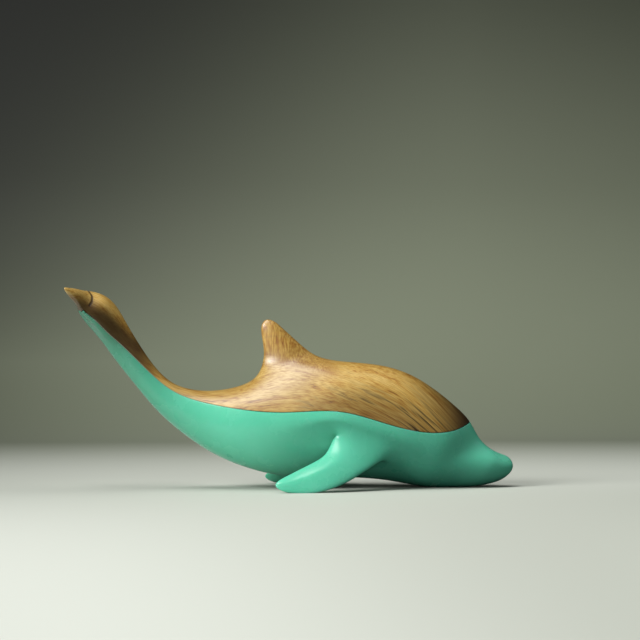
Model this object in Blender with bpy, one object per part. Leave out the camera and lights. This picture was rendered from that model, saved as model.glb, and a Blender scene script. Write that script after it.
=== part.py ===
"""Dolphin sculpture: a carved wooden back laid into a cast resin body.

The dolphin lies on its chin and on the tips of its two flippers, with its tail
raised. Both pieces share one smooth outer surface, which is drawn as a coarse
cage of design points, smoothed, and parted along the seam.

Frame: +X towards the snout, +Z up, the XZ plane is the plane of symmetry, and
the origin is on the floor, in the middle of the sculpture's bounding box.
"""

from collections import namedtuple
from math import acos, cos, pi, radians, sin

import bmesh
import bpy
from mathutils import Vector
from mathutils.kdtree import KDTree

# Driving sizes, in metres
LENGTH = 0.2222  # snout tip to fluke tips
SEAM_GAP = 0.0003  # between the wooden back and the resin body

# How finely the drawn form is smoothed, and how closely it passes through its points
SMOOTHING_LEVELS = 2
FITTING_ROUNDS = 8

SHARP_FROM = radians(40)  # edges that turn by more than this are shaded sharp
ON_MIDPLANE = LENGTH * 1e-6  # how far from the plane of symmetry a point on it may be
WOOD, RESIN = 0, 1

# The free form is a drawing whose unit is 1 mm at this LENGTH, and it scales with LENGTH.
# z = 0 is the floor: the chin and the flippers dip under it, and are sanded off level.
SHOULDER_SHARE = 0.45  # of the angle from the top of a section to its seam

# One cross-section of the body. top and belly are (x, z) on the plane of symmetry. seam is
# the share of the height, from the top, at which wood meets resin. rows are the shares of
# the angle from the seam to the belly at which the two rows of points below it run.
Section = namedtuple("Section", "top belly half_width seam rows", defaults=((0.34, 0.67),))

BODY = (
    Section(top=(82.7, 41.7), belly=(79.5, -0.45), half_width=18.0, seam=0.30),
    Section(top=(66.0, 54.0), belly=(66.0, 0.5), half_width=22.5, seam=0.49),
    Section(top=(47.0, 60.8), belly=(51.0, 3.1), half_width=24.7, seam=0.515, rows=(0.22, 0.52)),
    Section(top=(28.0, 62.9), belly=(35.0, 4.4), half_width=25.2, seam=0.45, rows=(0.16, 0.5)),
    Section(top=(12.0, 62.0), belly=(20.5, 5.0), half_width=24.8, seam=0.415, rows=(0.14, 0.5)),
    Section(top=(-4.2, 57.5), belly=(-2.0, 5.8), half_width=23.0, seam=0.383, rows=(0.26, 0.6)),
    Section(top=(-19.2, 52.7), belly=(-23.0, 10.9), half_width=19.3, seam=0.335),
    Section(top=(-34.0, 48.5), belly=(-42.3, 20.1), half_width=14.5, seam=0.26),
    Section(top=(-49.8, 49.2), belly=(-60.6, 34.2), half_width=9.5, seam=0.235),
    Section(top=(-63.6, 57.1), belly=(-72.4, 47.0), half_width=6.6, seam=0.25),
)

# Points (x, z) on the plane of symmetry down the front of the head
FOREHEAD = ((91.9, 32.9), (97.0, 25.0))

# Cross-sections of the snout, from the crease under the forehead to its tip
SnoutSection = namedtuple("SnoutSection", "top belly half_width")
SNOUT = (
    SnoutSection(top=(101.3, 19.7), belly=(90.0, -0.2), half_width=13.4),
    SnoutSection(top=(107.2, 16.7), belly=(100.2, 1.1), half_width=10.4),
    SnoutSection(top=(112.8, 13.4), belly=(110.2, 5.0), half_width=6.0),
)

# Cross-sections of the dorsal fin, from its foot up: (x, z) of the leading and trailing edge
FinSection = namedtuple("FinSection", "leading trailing half_thickness")
DORSAL_FIN = (
    FinSection(leading=(15.5, 65.1), trailing=(-13.6, 59.6), half_thickness=7.0),
    FinSection(leading=(6.2, 71.2), trailing=(-12.2, 68.8), half_thickness=4.3),
    FinSection(leading=(-3.6, 80.0), trailing=(-13.6, 78.6), half_thickness=3.0),
)
FIN_TIP = ((-7.6, 83.1), (-11.2, 83.7))

# Cross-sections of a flipper, from the root down to its tip: (x, y, z) of the two edges.
# lip is the share of the chord taken by the rounded rear face, behind the outer ridge.
FlipperSection = namedtuple("FlipperSection", "leading trailing thickness lip")
FLIPPER = (
    FlipperSection(leading=(41.2, -24.6, 13.5), trailing=(21.2, -21.4, 25.6), thickness=6.5, lip=0.13),
    FlipperSection(leading=(31.6, -31.0, 8.2), trailing=(16.9, -24.6, 18.8), thickness=6.6, lip=0.22),
    FlipperSection(leading=(20.0, -36.2, 2.8), trailing=(9.6, -28.8, 13.9), thickness=6.0, lip=0.26),
    FlipperSection(leading=(6.2, -38.2, -0.3), trailing=(-1.6, -32.2, 8.6), thickness=4.2, lip=0.25),
    FlipperSection(leading=(-4.5, -38.2, 0.7), trailing=(-7.3, -35.4, 5.6), thickness=2.4, lip=0.18),
)
FLIPPER_TIP = (-9.2, -37.2, 3.3)

# The tail's end is drawn in its own frame: from TAIL_ORIGIN (x, z), along the tail,
# out to the side, and up, square to the upper face
TAIL_ORIGIN = (-79.4, 67.2)
TAIL_RISE = 44.4  # degrees from level

# Each section holds the points down one side, as (along, out, up): ridge, shoulder,
# rim, then in under the tail to the keel
TAIL = (
    ((2, 0, 7.5), (2.2, 4.2, 5.6), (2, 6.6, 0.4),
     (1.5, 5.4, -3.5), (0.8, 3, -6.2), (0, 0, -7.2)),
    ((12.5, 0, 10.3), (12.7, 7.2, 7), (13, 11.2, -0.2),
     (12.5, 7.6, -3.3), (12, 3.8, -4.9), (11.5, 0, -5.4)),
    ((24.2, 0, 12.6), (24, 11.8, 8), (22.6, 16.4, 0),
     (22.2, 11, -2.5), (21.5, 5.4, -3.9), (21, 0, -4.4)),
    ((35.1, 0, 7.7), (30.6, 11, 6.6), (28.5, 18.9, -0.6),
     (29.5, 13.5, -2), (30.9, 7, -2.3), (32.4, 0, -1.9)),
)

# Beyond the notch each fluke stands alone: ridge and keel are now its trailing edge
FLUKE = (
    ((37.2, 10.5, 5.4), (35.4, 18, 4.1), (34.1, 21.2, 1.1),
     (33.6, 19, -1), (34.5, 14, -0.4), (36, 10, 2.3)),
    ((40.1, 18.5, 3), (39.1, 22.4, 2.2), (38.5, 23.6, 0.7),
     (38.4, 22.6, -0.5), (39.1, 20.2, 0), (39.9, 18.3, 1.6)),
)
FLUKE_TIP = (42.1, 24.4, 0.6)

# Where the fins leave the body: first and last section of each patch of the cage
FIN_SECTIONS = (3, 6)
FLIPPER_SECTIONS = (2, 4)

# Steps down one side of a body section
TOP, SHOULDER, SEAM, CHEEK, BILGE, BELLY = range(6)


def clear_scene():
    """Remove whatever the file opened with."""
    for obj in list(bpy.data.objects):
        bpy.data.objects.remove(obj)


def mix(a, b, share):
    """The value or point at this share of the way from a to b."""
    return a + (b - a) * share


def on_midplane(point):
    """An (x, z) pair of the drawing as a point of the plane of symmetry."""
    return Vector((point[0], 0.0, point[1]))


def oval_half(section, angles):
    """Points at these angles down one side of an upright oval from its top to its belly."""
    top, belly = on_midplane(section.top), on_midplane(section.belly)
    middle, reach = (top + belly) / 2, (top - belly) / 2
    side = Vector((0.0, -section.half_width, 0.0))
    points = [middle + reach * cos(angle) + side * sin(angle) for angle in angles[:-1]]
    return points + [belly]


def body_points(section):
    """The six design points down one side of a body section."""
    seam = acos(1 - 2 * section.seam)
    below = [mix(seam, pi, share) for share in (0.0, *section.rows, 1.0)]
    return oval_half(section, [0.0, SHOULDER_SHARE * seam] + below)


def snout_points(section):
    """The four design points down one side of a snout section."""
    return oval_half(section, [0.0, pi / 3, pi * 2 / 3, pi])


def tail_points(section):
    """The six design points down one side of a section of the tail's end."""
    rise = radians(TAIL_RISE)
    origin = on_midplane(TAIL_ORIGIN)
    along, up = Vector((-cos(rise), 0.0, sin(rise))), Vector((sin(rise), 0.0, cos(rise)))
    out = Vector((0.0, -1.0, 0.0))
    return [origin + along * p[0] + out * p[1] + up * p[2] for p in section]


def dorsal_points(section):
    """Six design points from the leading to the trailing edge of the dorsal fin."""
    leading, trailing = on_midplane(section.leading), on_midplane(section.trailing)
    points = [leading]
    for along, bulge in ((0.12, 0.62), (0.42, 1.0), (0.72, 0.84), (0.93, 0.46)):
        point = mix(leading, trailing, along)
        point.y = -section.half_thickness * bulge
        points.append(point)
    return points + [trailing]


def flipper_points(section, onward):
    """Six design points round a flipper section: back over its outer face, on under its inner."""
    leading, trailing = Vector(section.leading), Vector(section.trailing)
    chord = trailing - leading
    half = chord.cross(onward).normalized() * section.thickness / 2
    if half.y > 0:
        half = -half
    outer = ((0.05, 0.42), (0.45, 1.0), (1.0 - section.lip, 0.85))
    inner = ((1.0, -0.15), (0.5, -1.0), (0.05, -0.42))
    return [leading + chord * along + half * bulge for along, bulge in outer + inner]


class Cage:
    """The coarse half cage, on the -Y side, with a material for each face."""

    def __init__(self):
        self.bm = bmesh.new()

    def row(self, points):
        """New vertices at these points of the drawing."""
        return [self.bm.verts.new(point) for point in points]

    def face(self, corners, material):
        """A new face of this material."""
        self.bm.faces.new(corners).material_index = material

    def strip(self, row, following, materials):
        """Quads between two rows of vertices. A material of None leaves a hole."""
        for step, material in enumerate(materials):
            if material is None:
                continue
            after = (step + 1) % len(row)
            self.face((row[step], row[after], following[after], following[step]), material)

    def tube(self, loops, material):
        """Quads round a series of six-sided loops."""
        for loop, following in zip(loops, loops[1:]):
            self.strip(loop, following, [material] * 6)

    def tip(self, loop, point, material):
        """Close a six-sided loop on a point."""
        end = self.row([point])[0]
        for step in (0, 2, 4):
            self.face((loop[step - 1], loop[step], loop[step + 1], end), material)


def build_body(cage):
    """The body's rows of vertices, with holes where fins and flippers leave it."""
    rows = [cage.row(body_points(section)) for section in BODY]
    rows += [cage.row(tail_points(section)) for section in TAIL]
    for index in range(len(rows) - 1):
        materials = [WOOD] * SEAM + [RESIN] * (BELLY - SEAM)
        if FIN_SECTIONS[0] <= index < FIN_SECTIONS[1]:
            materials[TOP] = None
        if FLIPPER_SECTIONS[0] <= index < FLIPPER_SECTIONS[1]:
            materials[CHEEK] = None
        cage.strip(rows[index], rows[index + 1], materials)
    return rows


def build_head(cage, first_row):
    """Close the front of the head, and grow the snout from it."""
    brow, bridge = cage.row([on_midplane(point) for point in FOREHEAD])
    cage.face((first_row[TOP], first_row[SHOULDER], first_row[SEAM], brow), WOOD)
    cage.face((brow, first_row[SEAM], first_row[CHEEK], bridge), RESIN)
    rows = [[bridge] + first_row[CHEEK:]] + [cage.row(snout_points(s)) for s in SNOUT]
    for row, following in zip(rows, rows[1:]):
        cage.strip(row, following, [RESIN] * 3)
    cage.face(rows[-1], RESIN)


def build_dorsal_fin(cage, rows):
    """Grow the dorsal fin from the top of the back."""
    first, last = FIN_SECTIONS
    foot = [rows[first][TOP]]
    foot += [rows[index][SHOULDER] for index in range(first, last + 1)]
    foot += [rows[last][TOP]]
    levels = [foot] + [cage.row(dorsal_points(section)) for section in DORSAL_FIN]
    for row, following in zip(levels, levels[1:]):
        cage.strip(row, following, [WOOD] * 5)
    front, rear = cage.row([on_midplane(point) for point in FIN_TIP])
    end = levels[-1]
    cage.face((end[0], end[1], end[2], front), WOOD)
    cage.face((front, end[2], end[3], rear), WOOD)
    cage.face((rear, end[3], end[4], end[5]), WOOD)


def build_flipper(cage, rows):
    """Grow one flipper from the cheek, down and back to the floor."""
    first, last = FLIPPER_SECTIONS
    stations = list(range(first, last + 1))
    root = [rows[index][CHEEK] for index in stations]
    root += [rows[index][BILGE] for index in reversed(stations)]
    centres = [mix(Vector(s.leading), Vector(s.trailing), 0.5) for s in FLIPPER]
    centres.append(Vector(FLIPPER_TIP))
    loops = [root]
    for section, here, following in zip(FLIPPER, centres, centres[1:]):
        loops.append(cage.row(flipper_points(section, following - here)))
    cage.tube(loops, RESIN)
    cage.tip(loops[-1], Vector(FLIPPER_TIP), RESIN)


def build_fluke(cage, last_row):
    """Grow one fluke on from the last row of the tail."""
    loops = [last_row] + [cage.row(tail_points(section)) for section in FLUKE]
    cage.tube(loops, WOOD)
    cage.tip(loops[-1], tail_points([FLUKE_TIP])[0], WOOD)


def smoothed(cage):
    """An object that mirrors the half cage and smooths it."""
    bmesh.ops.recalc_face_normals(cage.bm, faces=cage.bm.faces)
    mesh = bpy.data.meshes.new("cage")
    cage.bm.to_mesh(mesh)
    obj = bpy.data.objects.new("cage", mesh)
    bpy.context.collection.objects.link(obj)
    mirror = obj.modifiers.new("both sides", "MIRROR")
    mirror.use_axis = (False, True, False)
    mirror.merge_threshold = 0.0001
    smoothing = obj.modifiers.new("smooth", "SUBSURF")
    smoothing.levels = smoothing.render_levels = SMOOTHING_LEVELS
    return obj


def evaluated_mesh(obj):
    """A new mesh of the object as its modifiers leave it."""
    graph = bpy.context.evaluated_depsgraph_get()
    graph.update()
    return bpy.data.meshes.new_from_object(obj.evaluated_get(graph))


def fit_through_points(obj):
    """Move the cage until the smooth surface passes through the design points."""
    cage = obj.data.vertices
    targets = [vertex.co.copy() for vertex in cage]
    for _ in range(FITTING_ROUNDS):
        surface = evaluated_mesh(obj)
        for index, target in enumerate(targets):
            miss = target - surface.vertices[index].co
            if target.y == 0.0:
                miss.y = 0.0
            cage[index].co += miss
        bpy.data.meshes.remove(surface)
        obj.data.update()


def whole_dolphin():
    """The outer surface of both pieces as one closed mesh, at its real size."""
    cage = Cage()
    rows = build_body(cage)
    build_head(cage, rows[0])
    build_dorsal_fin(cage, rows)
    build_flipper(cage, rows)
    build_fluke(cage, rows[-1])
    obj = smoothed(cage)
    cage.bm.free()
    fit_through_points(obj)

    bm = bmesh.new()
    bm.from_mesh(evaluated_mesh(obj))
    bpy.data.objects.remove(obj)
    for vertex in bm.verts:
        vertex.co.z = max(vertex.co.z, 0.0)
    ends = [pick(vertex.co.x for vertex in bm.verts) for pick in (min, max)]
    middle = Vector((sum(ends) / 2, 0.0, 0.0))
    scale = LENGTH / (ends[1] - ends[0])
    for vertex in bm.verts:
        vertex.co = (vertex.co - middle) * scale
    return bm


def on_seam(edge):
    """Whether wood meets resin at this edge of the whole dolphin."""
    first, second = edge.link_faces
    return first.material_index != second.material_index


def seam_side(bm):
    """The seam's vertices down the -Y side, from the forehead to under the tail."""
    edges = [edge for edge in bm.edges if on_seam(edge)]
    ends = [v for edge in edges for v in edge.verts if abs(v.co.y) < ON_MIDPLANE]
    path = [max(ends, key=lambda vertex: vertex.co.x)]
    while len(path) < 2 or abs(path[-1].co.y) >= ON_MIDPLANE:
        onward = {edge.other_vert(path[-1]) for edge in path[-1].link_edges if on_seam(edge)}
        path.append(min(onward - set(path), key=lambda vertex: vertex.co.y))
    return path


def seam_sheet(bm, near):
    """Faces of the sheet, as lists of vertices, that parts the whole along its seam.

    It runs straight across from side to side as far as the corner under the fluke,
    where a single face of resin meets the seam, and from there down to the keel.
    """
    far = mirror_images(near, [v for edge in bm.edges if on_seam(edge) for v in edge.verts])
    resin_faces = [sum(f.material_index == RESIN for f in v.link_faces) for v in near]
    corner = resin_faces.index(1)
    keel = near[-1]
    faces = [[near[0], far[1], near[1]]]
    faces += [[near[i], far[i], far[i + 1], near[i + 1]] for i in range(1, corner)]
    faces.append([near[corner], far[corner], keel])
    for side in (near, far):
        faces += [[side[i], side[i + 1], keel] for i in range(corner, len(near) - 2)]
    return faces


def mirror_images(near, candidates):
    """For each vertex, the candidate that lies nearest to its place mirrored in y."""
    tree = KDTree(len(candidates))
    for index, vertex in enumerate(candidates):
        tree.insert(vertex.co, index)
    tree.balance()
    mirrored = (Vector((v.co.x, -v.co.y, v.co.z)) for v in near)
    return [candidates[tree.find(place)[1]] for place in mirrored]


def make_piece(whole, sheet, name, kind, finish):
    """One of the two pieces, closed by the seam sheet and pulled back from the seam."""
    bm = bmesh.new()
    copies = {}

    def copy_of(vertex):
        if vertex not in copies:
            copies[vertex] = bm.verts.new(vertex.co)
        return copies[vertex]

    for face in whole.faces:
        if face.material_index == kind:
            bm.faces.new([copy_of(vertex) for vertex in face.verts])
    outer = list(bm.faces)
    cap = [bm.faces.new([copy_of(vertex) for vertex in corners]) for corners in sheet]
    bmesh.ops.recalc_face_normals(bm, faces=bm.faces)
    pull_back(cap, set(outer))

    mesh = bpy.data.meshes.new(name)
    bm.to_mesh(mesh)
    bm.free()
    mesh.materials.append(finish)
    mesh.shade_smooth()
    mesh.set_sharp_from_angle(angle=SHARP_FROM)
    obj = bpy.data.objects.new(name, mesh)
    bpy.context.collection.objects.link(obj)


def pull_back(cap, outer):
    """Slide the seam's vertices along the outer surface, to leave half the gap."""
    moves = {}
    for vertex in {vertex for face in cap for vertex in face.verts}:
        across = sum((f.normal * f.calc_area() for f in vertex.link_faces if f in cap), Vector())
        across.normalize()
        centres = [f.calc_center_median() for f in vertex.link_faces if f in outer]
        slide = sum(centres, Vector()) / len(centres) - vertex.co
        slide.normalize()
        moves[vertex] = slide * (SEAM_GAP / 2) / max(abs(slide.dot(across)), 0.3)
    for vertex, move in moves.items():
        vertex.co += move


def make_finish(name, colour, roughness):
    """A plain finish of this colour and roughness."""
    finish = bpy.data.materials.new(name)
    finish.use_nodes = True
    shader = finish.node_tree.nodes["Principled BSDF"]
    shader.inputs["Base Color"].default_value = colour
    shader.inputs["Roughness"].default_value = roughness
    return finish


def main():
    """Build both pieces in an empty scene."""
    clear_scene()
    whole = whole_dolphin()
    sheet = seam_sheet(whole, seam_side(whole))
    wood = make_finish("oiled golden wood", (0.42, 0.22, 0.06, 1.0), 0.35)
    resin = make_finish("mint green resin", (0.12, 0.52, 0.36, 1.0), 0.25)
    make_piece(whole, sheet, "wooden_back", WOOD, wood)
    make_piece(whole, sheet, "resin_belly", RESIN, resin)
    whole.free()


if __name__ == "__main__":
    main()
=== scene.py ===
"""Finish of the dolphin sculpture: an oiled wooden back on a body of cloudy mint resin.

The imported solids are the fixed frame. Each of the two pieces is a refined copy of its
solid: the facets are smoothed out, the rim along the seam is eased, and the crease
between the flukes is carved into the wood. All sizes are in metres, +X towards the
snout and +Z up, with the floor at z = 0.
"""

import logging
from collections.abc import Callable
from dataclasses import dataclass
from enum import Enum
from math import cos, radians, sin

import bpy
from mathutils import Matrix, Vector

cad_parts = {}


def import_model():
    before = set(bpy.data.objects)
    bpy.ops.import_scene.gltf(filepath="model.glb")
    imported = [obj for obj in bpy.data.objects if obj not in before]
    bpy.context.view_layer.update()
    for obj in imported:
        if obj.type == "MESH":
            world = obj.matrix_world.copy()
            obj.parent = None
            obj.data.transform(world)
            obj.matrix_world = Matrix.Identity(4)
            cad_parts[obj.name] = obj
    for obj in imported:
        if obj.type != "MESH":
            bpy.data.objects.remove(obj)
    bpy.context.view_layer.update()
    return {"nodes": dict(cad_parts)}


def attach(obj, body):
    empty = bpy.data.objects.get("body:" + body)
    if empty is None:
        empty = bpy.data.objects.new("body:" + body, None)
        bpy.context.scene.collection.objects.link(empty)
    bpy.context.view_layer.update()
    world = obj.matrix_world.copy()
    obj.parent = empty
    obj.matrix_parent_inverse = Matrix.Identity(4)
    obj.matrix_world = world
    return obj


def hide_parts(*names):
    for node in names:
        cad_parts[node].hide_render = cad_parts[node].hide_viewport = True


log = logging.getLogger("dolphin")

MM = 0.001
CARVED = "carved"  # attribute that tells how deep in a carved line a place is, which the wood darkens as painted shade


class Piece(Enum):
    """The two physical pieces: CAD node, visible piece, material slot."""

    BACK = ("wooden_back", "oiled_wood_back", "wood")
    BODY = ("resin_belly", "cast_resin_body", "resin")

    def __init__(self, node: str, visible: str, slot: str) -> None:
        """Keep the piece's three names.

        Args:
            node: name of the CAD node that the piece stands for.
            visible: name of the visible piece.
            slot: material slot of the record.
        """
        self.node = node
        self.visible = visible
        self.slot = slot


# Helpers


def select_only(obj: bpy.types.Object) -> None:
    """Select this object alone and make it the active one."""
    bpy.ops.object.select_all(action="DESELECT")
    obj.select_set(True)
    bpy.context.view_layer.objects.active = obj


def apply_modifier(obj: bpy.types.Object, kind: str, **settings: object) -> None:
    """Add a modifier with these settings and apply it at once.

    Args:
        obj: the object that gets the modifier.
        kind: Blender's name for the kind of modifier.
        settings: values of the modifier's own fields.
    """
    modifier = obj.modifiers.new(kind.lower(), kind)
    for name, value in settings.items():
        setattr(modifier, name, value)
    select_only(obj)
    bpy.ops.object.modifier_apply(modifier=modifier.name)


# Node trees


class Shading:
    """A node tree that is filled one node at a time."""

    def __init__(self, tree: bpy.types.NodeTree) -> None:
        """Start from this tree."""
        self.tree = tree

    def add(self, kind: str, inputs: dict | None = None, **settings: object) -> bpy.types.Node:
        """Add a node.

        Args:
            kind: the node's type.
            inputs: a constant or an output socket for each input, by name or number.
            settings: values of the node's own fields.

        Returns:
            The new node.
        """
        node = self.tree.nodes.new(kind)
        for name, value in settings.items():
            setattr(node, name, value)
        for name, source in (inputs or {}).items():
            if isinstance(source, bpy.types.NodeSocket):
                self.tree.links.new(source, node.inputs[name])
            else:
                node.inputs[name].default_value = source
        return node

    def math(self, operation: str, first: object, second: object = 0.0) -> bpy.types.NodeSocket:
        """The result of one step of arithmetic."""
        return self.add("ShaderNodeMath", {0: first, 1: second}, operation=operation).outputs[0]

    def combine(self, operation: str, *parts: tuple[object, float]) -> bpy.types.NodeSocket:
        """Values joined by one operation, each times its weight.

        Args:
            operation: how they are joined, such as ADD or MAXIMUM.
            parts: pairs of value and weight.

        Returns:
            The socket that holds the result.
        """
        result = None
        for value, weight in parts:
            part = self.math("MULTIPLY", value, weight)
            result = part if result is None else self.math(operation, result, part)
        return result

    def axes(self) -> bpy.types.NodeOutputs:
        """The place on the object, as x, y and z in metres."""
        place = self.add("ShaderNodeTexCoord").outputs["Object"]
        return self.add("ShaderNodeSeparateXYZ", {0: place}).outputs

    def remap(
        self, value: object, low: float, high: float, to_low: float = 0.0, to_high: float = 1.0
    ) -> bpy.types.NodeSocket:
        """The value taken smoothly from one range to another.

        Args:
            value: the value to change.
            low: where the first range starts.
            high: where the first range ends.
            to_low: result at low and below.
            to_high: result at high and above.

        Returns:
            The socket that holds the result.
        """
        inputs = {0: value, 1: low, 2: high, 3: to_low, 4: to_high}
        return self.add("ShaderNodeMapRange", inputs, interpolation_type="SMOOTHSTEP").outputs[0]

    def blend(self, share: object, first: object, second: object) -> bpy.types.NodeSocket:
        """Two colours blended.

        Args:
            share: how much of the second colour shows.
            first: the colour underneath.
            second: the colour on top.

        Returns:
            The socket that holds the blended colour.
        """
        inputs = {0: share, 6: first, 7: second}
        return self.add("ShaderNodeMix", inputs, data_type="RGBA").outputs[2]

    def ramp(self, value: object, stops: tuple) -> bpy.types.NodeSocket:
        """A colour read off a ramp.

        Args:
            value: the place on the ramp, from 0 to 1.
            stops: pairs of place and colour.

        Returns:
            The socket that holds the colour.
        """
        node = self.add("ShaderNodeValToRGB", {0: value})
        elements = node.color_ramp.elements
        while len(elements) < len(stops):
            elements.new(1.0)
        for element, (place, colour) in zip(elements, stops):
            element.position = place
            element.color = colour
        return node.outputs[0]


class Effect:
    """A node group with named inputs and outputs, built once and placed where it is used."""

    def __init__(self, name: str, inputs: dict[str, float], outputs: tuple[str, ...]) -> None:
        """Make the empty group.

        Args:
            name: what the effect is.
            inputs: each input's name and usual value.
            outputs: names of the values that it puts out.
        """
        self.group = bpy.data.node_groups.new(name, "ShaderNodeTree")
        for label, value in inputs.items():
            socket = self.group.interface.new_socket(
                name=label, in_out="INPUT", socket_type="NodeSocketFloat"
            )
            socket.default_value = value
        for label in outputs:
            self.group.interface.new_socket(
                name=label, in_out="OUTPUT", socket_type="NodeSocketFloat"
            )
        self.shading = Shading(self.group)
        self.given = self.shading.add("NodeGroupInput").outputs
        self.build()

    def build(self) -> None:
        """Fill the group. Each effect does this in its own way."""
        raise NotImplementedError

    def put_out(self, results: dict[str, bpy.types.NodeSocket]) -> None:
        """Join these results to the group's outputs."""
        self.shading.add("NodeGroupOutput", results)

    def place(self, shading: Shading, **values: object) -> bpy.types.NodeOutputs:
        """Put the effect into a material.

        Args:
            shading: the material's nodes.
            values: the effect's inputs in this place, by their names in small letters.

        Returns:
            The outputs of the placed group.
        """
        inputs = {name.capitalize(): value for name, value in values.items()}
        return shading.add("ShaderNodeGroup", inputs, node_tree=self.group).outputs


class BackGrain(Effect):
    """Streaks that follow the line of the back, as the wood's fibres do.

    The line is given as heights over x. Fibres run beside it at every depth, and the
    lengths along it are measured in x.
    """

    TOP = 100 * MM  # height that the curve's value 1 stands for
    LINE = (  # x and z in millimetres
        (-112.0, 84.0),
        (-98.0, 80.5),
        (-80.0, 66.5),
        (-62.0, 54.0),
        (-45.0, 48.5),
        (-25.0, 48.5),
        (-5.0, 50.0),
        (11.0, 48.3),
        (26.0, 43.2),
        (46.0, 34.0),
        (60.0, 25.0),
        (75.0, 11.0),
        (90.0, -6.0),
    )

    def __init__(self) -> None:
        """Name the inputs: streaks to the metre each way, and how far they wander.

        Height puts out how far a place is above the line.
        """
        inputs = {"Across": 900.0, "Sideways": 900.0, "Along": 50.0, "Wander": 0.0, "Detail": 2.0}
        super().__init__("back grain", inputs, ("Streaks", "Height"))

    def build(self) -> None:
        """Read noise in coordinates that follow the line."""
        s = self.shading
        place = s.add("ShaderNodeTexCoord").outputs["Object"]
        x, y, z = s.add("ShaderNodeSeparateXYZ", {0: place}).outputs
        height = s.math("SUBTRACT", z, self.line_height(x))
        drift = s.add("ShaderNodeTexNoise", {"Vector": place, "Scale": 26.0, "Detail": 1.0})
        wander = s.math("MULTIPLY", s.math("SUBTRACT", drift.outputs[0], 0.5), self.given["Wander"])
        depth = s.math("ADD", height, wander)
        vector = s.add(
            "ShaderNodeCombineXYZ",
            {
                0: s.math("MULTIPLY", depth, self.given["Across"]),
                1: s.math("MULTIPLY", y, self.given["Sideways"]),
                2: s.math("MULTIPLY", x, self.given["Along"]),
            },
        )
        streaks = s.add(
            "ShaderNodeTexNoise",
            {"Vector": vector.outputs[0], "Scale": 1.0, "Detail": self.given["Detail"]},
        )
        self.put_out({"Streaks": streaks.outputs[0], "Height": height})

    def line_height(self, x: bpy.types.NodeSocket) -> bpy.types.NodeSocket:
        """The height of the line at x.

        Args:
            x: the place along the sculpture.

        Returns:
            The socket that holds the height in metres.
        """
        s = self.shading
        start, end = self.LINE[0][0] * MM, self.LINE[-1][0] * MM
        share = s.math("DIVIDE", s.math("SUBTRACT", x, start), end - start)
        node = s.add("ShaderNodeFloatCurve", {"Value": share})
        points = node.mapping.curves[0].points
        while len(points) < len(self.LINE):
            points.new(0.5, 0.5)
        for point, (along, height) in zip(points, self.LINE):
            point.location = ((along * MM - start) / (end - start), height * MM / self.TOP)
        node.mapping.use_clip = False
        node.mapping.update()
        return s.math("MULTIPLY", node.outputs[0], self.TOP)


class Clouding(Effect):
    """Soft blotches, as of colour stirred into resin."""

    def __init__(self) -> None:
        """Name the inputs: blotches to the metre and how much they are bent."""
        super().__init__("clouding", {"Scale": 30.0, "Swirl": 0.6}, ("Mask",))

    def build(self) -> None:
        """Read a bent noise and stretch it over the whole range."""
        s = self.shading
        place = s.add("ShaderNodeTexCoord").outputs["Object"]
        noise = s.add(
            "ShaderNodeTexNoise",
            {
                "Vector": place,
                "Scale": self.given["Scale"],
                "Detail": 2.0,
                "Distortion": self.given["Swirl"],
            },
        )
        self.put_out({"Mask": s.remap(noise.outputs[0], 0.3, 0.7)})


class PolishMarks(Effect):
    """What sanding and handling leave: a fine haze and faint hairlines."""

    def __init__(self) -> None:
        """Name the inputs: hairlines to the metre."""
        super().__init__("polish marks", {"Scale": 260.0}, ("Haze", "Hairlines"))

    def build(self) -> None:
        """Cross two sets of long thin marks, and mottle the haze."""
        s = self.shading
        place = s.add("ShaderNodeTexCoord").outputs["Object"]
        haze = s.add("ShaderNodeTexNoise", {"Vector": place, "Scale": 60.0, "Detail": 4.0})
        lines = None
        for turn in (radians(24), radians(-38)):
            turned = s.add(
                "ShaderNodeMapping",
                {"Vector": place, "Rotation": (0.0, turn, turn), "Scale": (0.08, 1.0, 1.0)},
            )
            marks = s.add(
                "ShaderNodeTexNoise",
                {"Vector": turned.outputs[0], "Scale": self.given["Scale"], "Detail": 3.0},
            )
            thin = s.remap(marks.outputs[0], 0.64, 0.72)
            lines = thin if lines is None else s.math("MAXIMUM", lines, thin)
        self.put_out({"Haze": s.remap(haze.outputs[0], 0.3, 0.7), "Hairlines": lines})


@dataclass(frozen=True)
class Effects:
    """The shared effects, built once."""

    grain: BackGrain
    clouding: Clouding
    polish: PolishMarks


# Finishes


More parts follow.
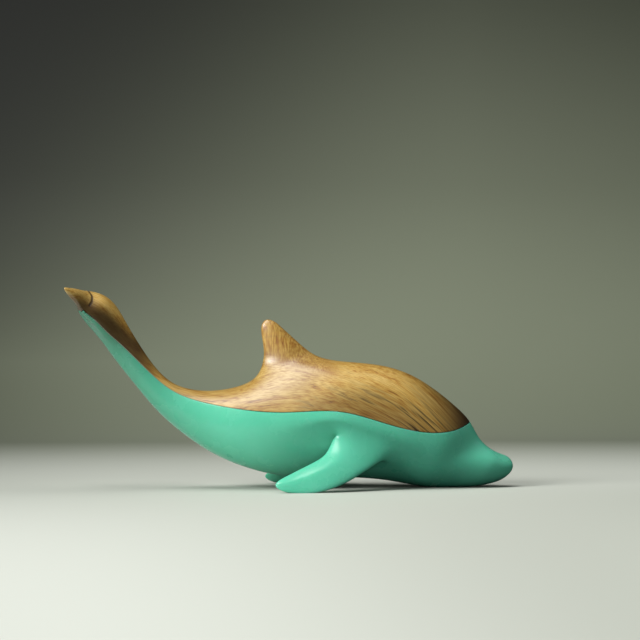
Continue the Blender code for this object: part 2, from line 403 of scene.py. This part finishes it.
@dataclass(frozen=True)
class DarkWoodAndShade:
    """Where the wood is darkened, evenly or in streaks: dark grain, and painted shade on the
    forehead and low on the tail.

    Each field is where a region starts and where it is full, in metres.
    """

    forehead: tuple = (46 * MM, 90 * MM)  # x; its even darkening is painted shade on the head's front, its streaks are grain
    flank_out: tuple = (17 * MM, 24 * MM)  # distance from the middle plane
    flank_front: tuple = (-20 * MM, 8 * MM)  # x
    tail_shade_low: tuple = (15 * MM, 6 * MM)  # height over the line of the back, under which the tail gets painted shade
    tail_shade_back: tuple = (-58 * MM, -78 * MM)  # x over which the tail's painted shade sets in
    rump_low: tuple = (12 * MM, 5 * MM)  # height over the line of the back
    rump_out: tuple = (3 * MM, 9 * MM)  # distance from the middle plane
    rump_back: tuple = (-34 * MM, -52 * MM)  # x
    saddle_back: tuple = (24 * MM, 2 * MM)  # x
    saddle_low: tuple = (74 * MM, 62 * MM)  # z

    def share(
        self,
        s: Shading,
        lines: bpy.types.NodeSocket,
        bands: bpy.types.NodeSocket,
        height: bpy.types.NodeSocket,
    ) -> bpy.types.NodeSocket:
        """How much of the dark colour shows at each place: grain, and painted shade on the forehead
        and low on the tail.

        Args:
            s: the material's nodes.
            lines: the narrow streaks.
            bands: the broad streaks.
            height: how far each place is above the line of the back.

        Returns:
            The share of the dark colour.
        """
        x, y, z = s.axes()
        aside = s.math("ABSOLUTE", y)
        forehead = s.remap(x, *self.forehead)
        flank = s.math("MULTIPLY", s.remap(aside, *self.flank_out), s.remap(x, *self.flank_front))
        # Painted shade low on the tail's sides.
        tail = s.math("MULTIPLY", s.remap(height, *self.tail_shade_low), s.remap(x, *self.tail_shade_back))
        rump = s.math("MULTIPLY", s.remap(height, *self.rump_low), s.remap(aside, *self.rump_out))
        rump = s.math("MULTIPLY", rump, s.remap(x, *self.rump_back))
        saddle = s.math("MULTIPLY", s.remap(x, *self.saddle_back), s.remap(z, *self.saddle_low))

        streaky = s.combine("ADD", (forehead, 0.9), (flank, 0.8), (rump, 0.7))
        streaks = s.math("MULTIPLY", s.remap(bands, 0.38, 0.58), s.remap(lines, 0.42, 0.60))
        streaks = s.math("MULTIPLY", streaks, s.math("ADD", streaky, 0.12))
        # Even darkening; on the forehead and low on the tail it is painted shade.
        even = s.combine(
            "MAXIMUM",
            (s.math("POWER", forehead, 1.6), 1.0),
            (flank, 0.5),
            (saddle, 0.28),
            (tail, 0.9),
        )
        return s.math("MINIMUM", s.math("MAXIMUM", streaks, even), 1.0)


@dataclass(frozen=True)
class OiledWood:
    """Golden brown hardwood, sanded fine and oiled to a satin gloss."""

    honey: tuple = (0.72, 0.49, 0.150, 1.0)
    golden: tuple = (0.53, 0.325, 0.072, 1.0)
    amber: tuple = (0.40, 0.190, 0.026, 1.0)
    rust: tuple = (0.27, 0.105, 0.012, 1.0)
    brown: tuple = (0.120, 0.050, 0.010, 1.0)
    # dark grain, and the tone of the painted shade on the forehead, the tail and the crease
    dark: tuple = (0.024, 0.010, 0.003, 1.0)
    gloss: tuple = (0.36, 0.50)  # roughness, from polished to open grain
    fin_rise: tuple = (56 * MM, 65 * MM)  # z, plus 0.3 of x, over which the fin's figure sets in
    fin_front: tuple = (26 * MM, 12 * MM)  # x of its front edge
    fin_back: tuple = (-38 * MM, -28 * MM)  # x of its back edge

    def make(self, effects: Effects) -> bpy.types.Material:
        """The material.

        Args:
            effects: the shared effects.

        Returns:
            The finished material.
        """
        material = bpy.data.materials.new("oiled wood")
        material.use_nodes = True
        s = Shading(material.node_tree)
        shader = material.node_tree.nodes["Principled BSDF"]
        shader.inputs["Specular IOR Level"].default_value = 0.6
        shader.inputs["Coat Weight"].default_value = 0.8
        shader.inputs["Coat Roughness"].default_value = 0.38
        grain = effects.grain
        fine = grain.place(s, across=2100.0, sideways=1300.0, along=110.0)[0]
        lines = grain.place(s, across=720.0, sideways=300.0, along=38.0, wander=0.006)[0]
        bands, height = grain.place(
            s, across=210.0, sideways=70.0, along=14.0, wander=0.02, detail=3.0
        )
        fin, upright = self.fin_figure(s)
        fibres = s.math("ADD", s.math("MULTIPLY", fine, s.math("SUBTRACT", 1.0, fin)), upright)
        polish = effects.polish.place(s)

        tone = s.combine(
            "ADD",
            (s.remap(fibres, 0.3, 0.7), 0.40),
            (s.remap(lines, 0.3, 0.7), 0.32),
            (s.remap(bands, 0.3, 0.7), 0.28),
        )
        colour = s.ramp(
            tone,
            ((0.0, self.brown), (0.24, self.amber), (0.50, self.golden), (0.92, self.honey)),
        )
        mottled = s.blend(s.remap(upright, 0.28, 0.72), self.rust, self.golden)
        colour = s.blend(s.math("MULTIPLY", fin, 0.75), colour, mottled)
        # Dark grain streaks, and painted shade on the forehead and low on the tail.
        colour = s.blend(DarkWoodAndShade().share(s, lines, bands, height), colour, self.dark)
        # Painted shade in the carved crease between the flukes.
        carved = s.add("ShaderNodeAttribute", attribute_name=CARVED).outputs["Fac"]
        colour = s.blend(s.remap(carved, 0.0, 0.6, 0.0, 0.85), colour, self.dark)
        pore = s.remap(fibres, 0.36, 0.26)
        colour = s.blend(s.math("MULTIPLY", pore, 0.3), colour, self.brown)
        s.tree.links.new(colour, shader.inputs["Base Color"])

        rough = s.combine(
            "ADD", (s.remap(fibres, 0.7, 0.3), 0.5), (pore, 1.0), (polish["Haze"], 0.3)
        )
        rough = s.remap(rough, 0.0, 1.3, *self.gloss)
        s.tree.links.new(rough, shader.inputs["Roughness"])

        relief = s.combine("SUBTRACT", (fibres, 0.5), (pore, 0.8), (polish["Hairlines"], 0.08))
        bump = s.add("ShaderNodeBump", {"Height": relief, "Distance": 0.1 * MM, "Strength": 0.5})
        s.tree.links.new(bump.outputs[0], shader.inputs["Normal"])
        return material

    def fin_figure(self, s: Shading) -> tuple[bpy.types.NodeSocket, bpy.types.NodeSocket]:
        """The upright mottling of the dorsal fin.

        Args:
            s: the material's nodes.

        Returns:
            The share of the fin at each place, and its upright fibres times that share.
        """
        place = s.add("ShaderNodeTexCoord").outputs["Object"]
        x, _, z = s.axes()
        stretched = s.add("ShaderNodeMapping", {"Vector": place, "Scale": (1400.0, 900.0, 230.0)})
        noise = s.add(
            "ShaderNodeTexNoise", {"Vector": stretched.outputs[0], "Scale": 1.0, "Detail": 2.0}
        )
        level = s.math("ADD", z, s.math("MULTIPLY", x, 0.3))
        fin = s.math("MULTIPLY", s.remap(level, *self.fin_rise), s.remap(x, *self.fin_front))
        fin = s.math("MULTIPLY", fin, s.remap(x, *self.fin_back))
        return fin, s.math("MULTIPLY", noise.outputs[0], fin)


@dataclass(frozen=True)
class MintResin:
    """Cast resin, mint green and slightly cloudy, polished to a soft gloss."""

    mint: tuple = (0.100, 0.520, 0.340, 1.0)
    pale: tuple = (0.130, 0.580, 0.395, 1.0)
    thin: tuple = (0.060, 0.230, 0.150, 1.0)  # painted shade: the darker tone towards the tail
    resin_shade_span: tuple = (-30 * MM, -96 * MM)  # x over which the painted shade towards the tail sets in
    gloss: tuple = (0.20, 0.30)  # roughness, from polished to hazy

    def make(self, effects: Effects) -> bpy.types.Material:
        """The material.

        Args:
            effects: the shared effects.

        Returns:
            The finished material.
        """
        material = bpy.data.materials.new("mint resin")
        material.use_nodes = True
        s = Shading(material.node_tree)
        shader = material.node_tree.nodes["Principled BSDF"]
        shader.subsurface_method = "RANDOM_WALK"
        shader.inputs["Subsurface Weight"].default_value = 0.6
        shader.inputs["Subsurface Radius"].default_value = (0.35, 1.0, 0.75)
        shader.inputs["Subsurface Scale"].default_value = 2.5 * MM
        shader.inputs["IOR"].default_value = 1.5
        cloud = effects.clouding.place(s, scale=16.0, swirl=1.0)[0]
        speck = effects.clouding.place(s, scale=420.0, swirl=0.0)[0]
        haze = effects.polish.place(s)["Haze"]

        share = s.combine("ADD", (cloud, 0.8), (speck, 0.2))
        colour = s.blend(share, self.mint, self.pale)
        # Painted shade: the resin darkens towards the tail.
        resin_shade = s.remap(s.axes()[0], *self.resin_shade_span, 0.0, 0.85)
        colour = s.blend(resin_shade, colour, self.thin)
        s.tree.links.new(colour, shader.inputs["Base Color"])
        rough = s.remap(haze, 0.0, 1.0, *self.gloss)
        s.tree.links.new(rough, shader.inputs["Roughness"])
        bump = s.add("ShaderNodeBump", {"Height": speck, "Distance": 0.01 * MM, "Strength": 0.2})
        s.tree.links.new(bump.outputs[0], shader.inputs["Normal"])
        return material


@dataclass(frozen=True)
class BackdropPaper:
    """Matt paper, pale under the sculpture, with painted light and shade: a painted pool of light
    at the near left, grey-green painted shade further back, darkest at the upper left.

    It throws less light back up on the side of the head, as beside a dark card.
    """

    floor: tuple = (0.54, 0.565, 0.495, 1.0)
    painted_light: tuple = (0.79, 0.82, 0.74, 1.0)  # painted light on the floor's near left part
    # painted shade: the backdrop's darker tone further back
    shaded_wall: tuple = (0.297, 0.330, 0.235, 1.0)
    # the deepest painted shade, and the paper's tone for bounced light beside the card
    darkest: tuple = (0.006, 0.007, 0.005, 1.0)
    painted_light_spread: tuple = (-0.02, 0.04)  # x times y, in square metres, over which the painted light grows towards the near left
    rising: tuple = (0.10, 0.85)  # y over which the floor's tone turns into the wall's painted shade
    brightest: tuple = (0.30, 0.08)  # x and z of the backdrop's brightest place, where its painted shade is least
    card: tuple = (-0.04, 0.03)  # x over which the paper stops throwing light back up
    card_share: float = 0.94

    def make(self) -> bpy.types.Material:
        """The material."""
        material = bpy.data.materials.new("backdrop paper")
        material.use_nodes = True
        s = Shading(material.node_tree)
        shader = material.node_tree.nodes["Principled BSDF"]
        shader.inputs["Roughness"].default_value = 0.6
        shader.inputs["Specular IOR Level"].default_value = 0.3
        x, y, z = s.axes()
        near_left = s.math("MULTIPLY", x, s.math("MINIMUM", y, 0.0))
        # Painted light at the near left, then painted shade further back and towards the upper
        # left.
        colour = s.blend(s.remap(near_left, *self.painted_light_spread), self.floor, self.painted_light)
        colour = s.blend(s.remap(y, *self.rising), colour, self.shaded_wall)
        colour = s.blend(self.falloff(s, x, z), colour, self.darkest)
        bounced = s.math("SUBTRACT", 1.0, s.add("ShaderNodeLightPath").outputs["Is Camera Ray"])
        damped = s.math("MULTIPLY", bounced, s.remap(x, *self.card, 0.0, self.card_share))
        colour = s.blend(damped, colour, self.darkest)
        s.tree.links.new(colour, shader.inputs["Base Color"])
        return material

    def falloff(
        self, s: Shading, x: bpy.types.NodeSocket, z: bpy.types.NodeSocket
    ) -> bpy.types.NodeSocket:
        """The painted shade on the paper: how it darkens away from its brightest place, and most
        towards the upper left.

        Args:
            s: the material's nodes.
            x: the place across the backdrop.
            z: the height on the backdrop.

        Returns:
            The share of the darkest tone.
        """
        aside = s.math("MAXIMUM", s.math("SUBTRACT", self.brightest[0], x), 0.0)
        above = s.math("MAXIMUM", s.math("SUBTRACT", z, self.brightest[1]), 0.0)
        corner = s.math("MULTIPLY", s.math("POWER", aside, 1.5), above)
        fall = s.combine(
            "ADD",
            (s.math("POWER", aside, 2.7), 3.7),
            (s.math("POWER", above, 2.0), 6.0),
            (corner, 15.0),
        )
        return s.math("SUBTRACT", 1.0, s.math("EXPONENT", s.math("MULTIPLY", fall, -1.0)))


# Pieces


@dataclass(frozen=True)
class FlukeCrease:
    """The carved line that runs from the notch between the flukes down to each rim.

    Points are (along, out, up) in millimetres, in the tail's own frame.
    """

    origin: Vector = Vector((-81.5, 0.0, 67.2)) * MM
    rise: float = radians(44.4)  # how steeply the tail climbs
    points: tuple = (
        (35.6, 0.0, 7.8),
        (34.8, 4.0, 7.8),
        (33.1, 7.8, 7.6),
        (31.9, 8.9, 7.5),
        (30.6, 10.5, 6.9),
        (28.8, 13.7, 5.0),
        (28.2, 15.8, 3.0),
    )
    half_width: float = 0.9 * MM
    depth: float = 0.15 * MM

    def path(self) -> list[Vector]:
        """The line's points on the +Y side, in metres."""
        along = Vector((-cos(self.rise), 0.0, sin(self.rise)))
        up = Vector((sin(self.rise), 0.0, cos(self.rise)))
        out = Vector((0.0, 1.0, 0.0))
        return [self.origin + (along * p[0] + out * p[1] + up * p[2]) * MM for p in self.points]

    def distance(self, place: Vector, path: list[Vector]) -> float:
        """How far a place is from the line, on whichever side of the tail it is.

        Args:
            place: a point of the surface.
            path: the line on the +Y side.

        Returns:
            The distance to the nearest point of the line.
        """
        here = Vector((place.x, abs(place.y), place.z))
        nearest = float("inf")
        for start, end in zip(path, path[1:]):
            step = end - start
            share = min(1.0, max(0.0, (here - start).dot(step) / step.length_squared))
            nearest = min(nearest, (here - start - step * share).length)
        return nearest

    def carve(self, obj: bpy.types.Object) -> None:
        """Cut the line into a piece: finer faces along it, pushed in by a weighted displacement.

        Args:
            obj: the piece, at the origin.
        """
        path = self.path()
        reach = 3.0 * self.half_width
        select_only(obj)
        bpy.ops.object.mode_set(mode="EDIT")
        bpy.ops.mesh.select_mode(type="FACE")
        bpy.ops.mesh.select_all(action="DESELECT")
        bpy.ops.object.mode_set(mode="OBJECT")
        for face in obj.data.polygons:
            face.select = self.distance(face.center, path) < reach
        bpy.ops.object.mode_set(mode="EDIT")
        bpy.ops.mesh.subdivide(number_cuts=2, smoothness=0.0)
        bpy.ops.object.mode_set(mode="OBJECT")

        group = obj.vertex_groups.new(name="crease")
        shares = [1.0 - self.distance(v.co, path) / self.half_width for v in obj.data.vertices]
        for number, share in enumerate(shares):
            if share > 0.0:
                group.add([number], share * share * (3.0 - 2.0 * share), "REPLACE")
        apply_modifier(
            obj, "DISPLACE", vertex_group="crease", strength=-self.depth, mid_level=0.0
        )
        obj.vertex_groups.clear()
        # Kept for the wood, which darkens along the line as painted shade.
        carved = obj.data.attributes.new(CARVED, "FLOAT", "POINT")
        carved.data.foreach_set("value", [max(0.0, share) for share in shares])


@dataclass(frozen=True)
class RefinedPiece:
    """A piece made from its CAD solid: smooth instead of faceted, with an eased rim."""

    piece: Piece
    smoothing: int = 2
    rim_from: float = radians(50)  # edges that turn by more than this are the rim
    rim_width: float = 0.14 * MM
    weld: float = 0.001 * MM
    pair_turn: float = radians(40)  # triangles that turn by more than this aren't paired
    pair_shape: float = radians(120)  # how far a pair's corners may be from square
    smooth_to: float = radians(38)  # edges that turn by more than this stay sharp

    def build(self, solid: bpy.types.Object, finish: bpy.types.Material) -> bpy.types.Object:
        """Make and dress the piece.

        Args:
            solid: the CAD node.
            finish: the piece's material.

        Returns:
            The finished piece, riding on the root body.
        """
        obj = bpy.data.objects.new(self.piece.visible, solid.data.copy())
        bpy.context.scene.collection.objects.link(obj)
        self.restore_quads(obj)
        apply_modifier(obj, "SUBSURF", levels=self.smoothing, render_levels=self.smoothing)
        self.carve(obj)
        apply_modifier(
            obj,
            "BEVEL",
            width=self.rim_width,
            segments=2,
            limit_method="ANGLE",
            angle_limit=self.rim_from,
        )
        obj.data.materials.clear()
        obj.data.materials.append(finish)
        select_only(obj)
        bpy.ops.object.shade_smooth_by_angle(angle=self.smooth_to)
        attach(obj, "root")
        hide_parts(self.piece.node)
        return obj

    def restore_quads(self, obj: bpy.types.Object) -> None:
        """Weld the copy's loose triangles, pair them up and mark the rim.

        Args:
            obj: the copy of the CAD node.
        """
        select_only(obj)
        bpy.ops.object.mode_set(mode="EDIT")
        bpy.ops.mesh.select_mode(type="EDGE")
        bpy.ops.mesh.select_all(action="SELECT")
        bpy.ops.mesh.remove_doubles(threshold=self.weld)
        bpy.ops.mesh.tris_convert_to_quads(
            face_threshold=self.pair_turn,
            shape_threshold=self.pair_shape,
            topology_influence=2.0,
        )
        bpy.ops.mesh.select_all(action="DESELECT")
        bpy.ops.mesh.edges_select_sharp(sharpness=self.rim_from)
        bpy.ops.transform.edge_crease(value=1.0)
        bpy.ops.object.mode_set(mode="OBJECT")

    def carve(self, obj: bpy.types.Object) -> None:
        """Cut whatever is carved into the piece. A plain piece has nothing."""


@dataclass(frozen=True)
class CarvedBack(RefinedPiece):
    """The wooden back, with the crease between the flukes."""

    crease: FlukeCrease = FlukeCrease()

    def carve(self, obj: bpy.types.Object) -> None:
        """Cut the crease into the tail."""
        self.crease.carve(obj)


# Studio


@dataclass(frozen=True)
class Softbox:
    """A rectangular soft light that faces the sculpture."""

    name: str
    place: Vector
    size: tuple[float, float]
    power: float
    target: Vector = Vector((0.0, 0.0, 0.04))
    mirrored: bool = True  # whether polished surfaces show it

    def build(self) -> None:
        """Hang the light."""
        bpy.ops.object.light_add(type="AREA", location=self.place)
        lamp = bpy.context.object
        lamp.name = self.name
        lamp.rotation_euler = (self.target - self.place).to_track_quat("-Z", "Y").to_euler()
        lamp.data.shape = "RECTANGLE"
        lamp.data.size, lamp.data.size_y = self.size
        lamp.data.energy = self.power
        lamp.visible_glossy = self.mirrored


@dataclass(frozen=True)
class Studio:
    """A pale floor that sweeps up into a grey-green backdrop, soft lights and the camera."""

    floor_half: float = 2.0  # half of its width
    floor_front: float = -1.6  # y of its front edge
    sweep_start: float = 0.66  # y where it begins to curve up
    sweep_radius: float = 0.30
    wall_height: float = 1.6
    air_tone: tuple = (0.86, 0.92, 0.84, 1.0)
    air_strength: float = 0.06
    camera_place: Vector = Vector((-0.0606, -0.7072, 0.0475))
    camera_aim: Vector = Vector((0.1044, 0.9932, 0.0506))
    lens: float = 80.0  # millimetres, as the film's width
    film_width: float = 36.0

    def build(self) -> None:
        """Set up floor, backdrop, lights and camera."""
        self.build_sweep()
        for light in self.lights():
            light.build()
        self.build_air()
        self.build_camera()

    def lights(self) -> tuple[Softbox, ...]:
        """The soft lights: a key and a high one on the left, one overhead, a fill in front."""
        return (
            Softbox("key", Vector((-0.86, -0.46, 0.58)), (0.45, 0.45), 12.4),
            Softbox("high", Vector((-0.32, -0.24, 0.95)), (0.4, 0.5), 5.0),
            Softbox("top", Vector((0.05, 0.15, 1.25)), (1.0, 0.8), 5.0, mirrored=False),
            Softbox("fill", Vector((0.25, -1.3, 0.30)), (0.9, 0.6), 4.1, mirrored=False),
        )

    def build_sweep(self) -> None:
        """Floor and backdrop in one curved sheet."""
        back = self.sweep_start + self.sweep_radius
        middle = (self.floor_front + back) / 2
        bpy.ops.object.select_all(action="DESELECT")
        bpy.ops.mesh.primitive_plane_add(size=1.0)
        sweep = bpy.context.object
        sweep.name = "studio_floor"
        bpy.ops.object.mode_set(mode="EDIT")
        bpy.ops.mesh.select_all(action="SELECT")
        bpy.ops.transform.resize(value=(2 * self.floor_half, back - self.floor_front, 1.0))
        bpy.ops.transform.translate(value=(0.0, middle, 0.0))
        self.select_edges(sweep, lambda a, b: min(a.y, b.y) > back - MM)
        bpy.ops.mesh.extrude_region_move(
            TRANSFORM_OT_translate={"value": (0.0, 0.0, self.wall_height)}
        )
        self.select_edges(sweep, lambda a, b: min(a.y, b.y) > back - MM and max(a.z, b.z) < MM)
        bpy.ops.mesh.bevel(offset=self.sweep_radius, segments=24, affect="EDGES")
        bpy.ops.object.mode_set(mode="OBJECT")
        bpy.ops.object.shade_smooth()
        sweep.data.materials.append(BackdropPaper().make())

    def select_edges(
        self, obj: bpy.types.Object, wanted: Callable[[Vector, Vector], bool]
    ) -> None:
        """Select, in edit mode, the edges whose two ends pass a test.

        Args:
            obj: the object being edited.
            wanted: takes the places of an edge's two ends.
        """
        bpy.ops.mesh.select_mode(type="EDGE")
        bpy.ops.mesh.select_all(action="DESELECT")
        bpy.ops.object.mode_set(mode="OBJECT")
        places = obj.data.vertices
        for edge in obj.data.edges:
            first, second = edge.vertices
            edge.select = wanted(places[first].co, places[second].co)
        bpy.ops.object.mode_set(mode="EDIT")

    def build_air(self) -> None:
        """A dim even light from all round."""
        world = bpy.data.worlds.new("studio air")
        world.use_nodes = True
        sky = world.node_tree.nodes["Background"]
        sky.inputs["Color"].default_value = self.air_tone
        sky.inputs["Strength"].default_value = self.air_strength
        bpy.context.scene.world = world

    def build_camera(self) -> None:
        """The camera, low in front of the sculpture and a little towards its tail."""
        bpy.ops.object.camera_add(location=self.camera_place)
        camera = bpy.context.object
        camera.rotation_euler = self.camera_aim.to_track_quat("-Z", "Y").to_euler()
        camera.data.lens = self.lens
        camera.data.sensor_width = self.film_width
        camera.data.clip_start = 0.01
        bpy.context.scene.camera = camera


def main() -> None:
    """Build the two pieces and the studio round them."""
    logging.basicConfig(level=logging.INFO, format="%(name)s: %(message)s")
    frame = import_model()
    bpy.context.scene.view_settings.view_transform = "Standard"

    effects = Effects(BackGrain(), Clouding(), PolishMarks())
    parts = ((CarvedBack(Piece.BACK), OiledWood()), (RefinedPiece(Piece.BODY), MintResin()))
    for part, finish in parts:
        obj = part.build(frame["nodes"][part.piece.node], finish.make(effects))
        triangles = sum(len(face.vertices) - 2 for face in obj.data.polygons)
        log.info("%s: %d triangles", obj.name, triangles)
    Studio().build()


if __name__ == "__main__":
    main()
